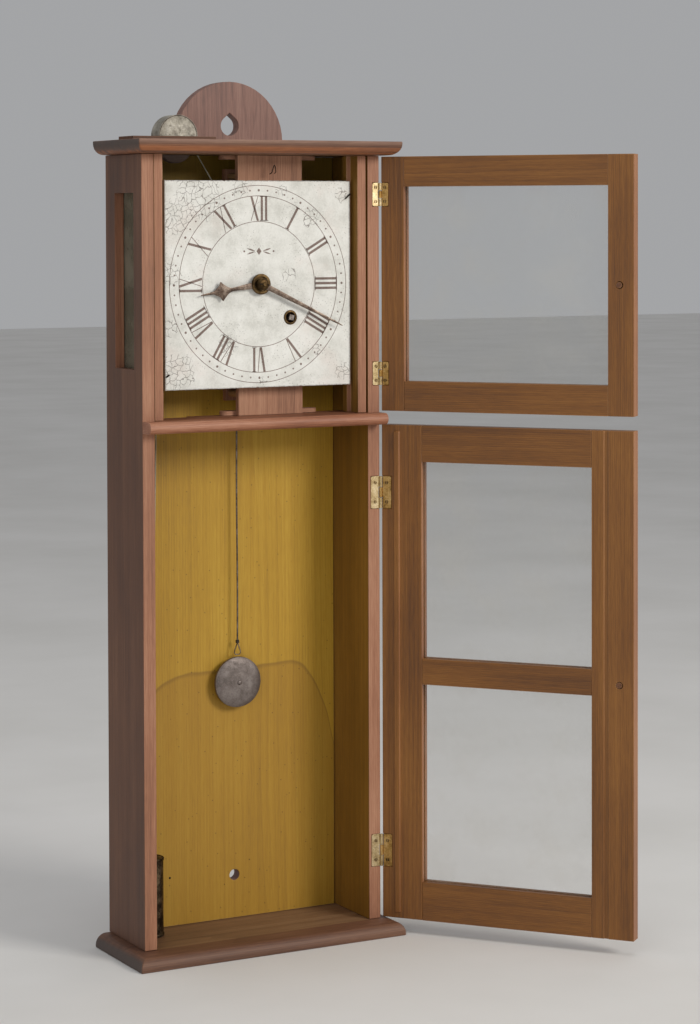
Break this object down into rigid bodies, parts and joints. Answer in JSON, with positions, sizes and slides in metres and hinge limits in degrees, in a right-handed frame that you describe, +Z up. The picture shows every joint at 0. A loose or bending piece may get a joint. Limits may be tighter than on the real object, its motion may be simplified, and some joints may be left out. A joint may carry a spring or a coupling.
{
  "type": "wall clock",
  "caption": "Wall-hung, weight-driven pendulum clock with a shallow wooden case, hinged glazed doors, a square painted dial and a wooden movement.",
  "frame": {"origin": "centre of the hanging hole in the round head, on the wall face of the back board", "axes": "+Z up, +Y into the wall, -Y towards the room, +X to the right of someone facing the dial"},
  "size_m": [0.4399, 0.2788, 0.8225],
  "materials": {
    "case_pine": "satin",
    "inner_pine": "satin",
    "door_wood": "satin",
    "works_wood": "matte",
    "dial_paint": "satin",
    "glass": "gloss",
    "brass": "satin",
    "steel": "satin",
    "pewter": "satin",
    "tin": "satin",
    "weight_can": "satin",
    "hand_paint": "satin",
    "cord": "matte"
  },
  "bodies": {
    "case": {"base_board": "case_pine", "top_board": "case_pine", "back_board": "inner_pine", "left_side": "case_pine", "left_side_glass": "glass", "right_side": "case_pine", "right_side_glass": "glass", "middle_rail": "door_wood", "left_dial_batten": "inner_pine", "right_dial_batten": "inner_pine", "pulley_plate": "case_pine", "pulley_hood": "tin", "front_plate": "works_wood", "back_plate": "works_wood", "upper_cleat": "works_wood", "lower_cleat": "works_wood", "upper_left_pillar": "works_wood", "upper_right_pillar": "works_wood", "lower_left_pillar": "works_wood", "lower_right_pillar": "works_wood", "dial": "dial_paint", "winding_collar": "brass", "suspension_stud": "brass", "drum_cord": "cord", "weight_cord": "cord", "upper_door_top_hinge_case_leaf": "brass", "upper_door_bottom_hinge_case_leaf": "brass", "lower_door_top_hinge_case_leaf": "brass", "lower_door_bottom_hinge_case_leaf": "brass"},
    "upper_door": {"upper_door_bottom_rail": "door_wood", "upper_door_top_rail": "door_wood", "upper_door_hinge_stile": "door_wood", "upper_door_free_stile": "door_wood", "upper_door_pane": "glass", "upper_door_knob": "door_wood", "upper_door_top_hinge_door_leaf": "brass", "upper_door_bottom_hinge_door_leaf": "brass"},
    "lower_door": {"lower_door_bottom_rail": "door_wood", "lower_door_top_rail": "door_wood", "lower_door_middle_rail": "door_wood", "lower_door_hinge_stile": "door_wood", "lower_door_free_stile": "door_wood", "lower_door_lower_pane": "glass", "lower_door_upper_pane": "glass", "lower_door_knob": "door_wood", "lower_door_top_hinge_door_leaf": "brass", "lower_door_bottom_hinge_door_leaf": "brass"},
    "center_train": {"center_arbor": "brass", "minute_hand": "hand_paint"},
    "hour_train": {"hour_hand": "hand_paint"},
    "minute_wheel_body": {"minute_wheel": "brass"},
    "great_wheel_body": {"great_wheel": "works_wood"},
    "third_wheel_body": {"third_wheel": "brass"},
    "escape_wheel_body": {"escape_wheel": "brass"},
    "verge_body": {"verge": "steel"},
    "pendulum": {"pendulum_rod": "steel", "pendulum_bob": "pewter"},
    "drum_body": {"winding_drum": "works_wood"},
    "pulley_body": {"pulley": "works_wood"},
    "weight_body": {"weight": "weight_can"}
  },
  "joints": [
    {"name": "upper_door_hinge", "type": "hinge", "parent": "case", "child": "upper_door", "pos_m": [0.126, -0.0825, -0.152], "axis": [0, 0, 1], "range_deg": [-129, 46]},
    {"name": "lower_door_hinge", "type": "hinge", "parent": "case", "child": "lower_door", "pos_m": [0.126, -0.0825, -0.527], "axis": [0, 0, 1], "range_deg": [-129, 46]},
    {"name": "minute_turn", "type": "hinge", "parent": "case", "child": "center_train", "pos_m": [0, -0.05, -0.151], "axis": [0, 1, 0], "continuous": true},
    {"name": "hour_turn", "type": "hinge", "parent": "case", "child": "hour_train", "pos_m": [0, -0.07, -0.151], "axis": [0, 1, 0], "continuous": true},
    {"name": "minute_wheel_turn", "type": "hinge", "parent": "case", "child": "minute_wheel_body", "pos_m": [0.0084, -0.063, -0.13645], "axis": [0, 1, 0], "continuous": true},
    {"name": "great_wheel_turn", "type": "hinge", "parent": "case", "child": "great_wheel_body", "pos_m": [0.033, -0.049, -0.183], "axis": [0, 1, 0], "continuous": true},
    {"name": "third_wheel_turn", "type": "hinge", "parent": "case", "child": "third_wheel_body", "pos_m": [0.0252, -0.041, -0.1313], "axis": [0, 1, 0], "continuous": true},
    {"name": "escape_wheel_turn", "type": "hinge", "parent": "case", "child": "escape_wheel_body", "pos_m": [0.014, -0.045, -0.108], "axis": [0, 1, 0], "continuous": true},
    {"name": "pendulum_swing", "type": "hinge", "parent": "case", "child": "pendulum", "pos_m": [0.002, -0.0202, -0.076], "axis": [0, 1, 0], "range_deg": [-4, 4]},
    {"name": "verge_rock", "type": "hinge", "parent": "case", "child": "verge_body", "pos_m": [0.002, -0.04, -0.076], "axis": [0, 1, 0], "range_deg": [-4, 4]},
    {"name": "winding_turn", "type": "hinge", "parent": "case", "child": "drum_body", "pos_m": [0.033, -0.05, -0.183], "axis": [0, 1, 0], "range_deg": [0, 1800]},
    {"name": "pulley_turn", "type": "hinge", "parent": "case", "child": "pulley_body", "pos_m": [-0.069, -0.034, -0.0188], "axis": [0, 1, 0], "range_deg": [0, 1800]},
    {"name": "weight_rise", "type": "slide", "parent": "case", "child": "weight_body", "axis": [0.0188, -0.003, 0.9998], "range_m": [0, 0.4712], "deforming": ["weight_cord"]}
  ],
  "couplings": [
    {"joint": "hour_turn", "follows": "minute_turn", "ratio": 0.083333},
    {"joint": "minute_wheel_turn", "follows": "minute_turn", "ratio": -0.33333},
    {"joint": "great_wheel_turn", "follows": "minute_turn", "ratio": -0.16667},
    {"joint": "third_wheel_turn", "follows": "minute_turn", "ratio": -9},
    {"joint": "escape_wheel_turn", "follows": "minute_turn", "ratio": 74.25},
    {"joint": "verge_rock", "follows": "pendulum_swing", "ratio": 1},
    {"joint": "winding_turn", "follows": "weight_rise", "rad_per_m": 66.667},
    {"joint": "pulley_turn", "follows": "weight_rise", "rad_per_m": 66.667}
  ]
}
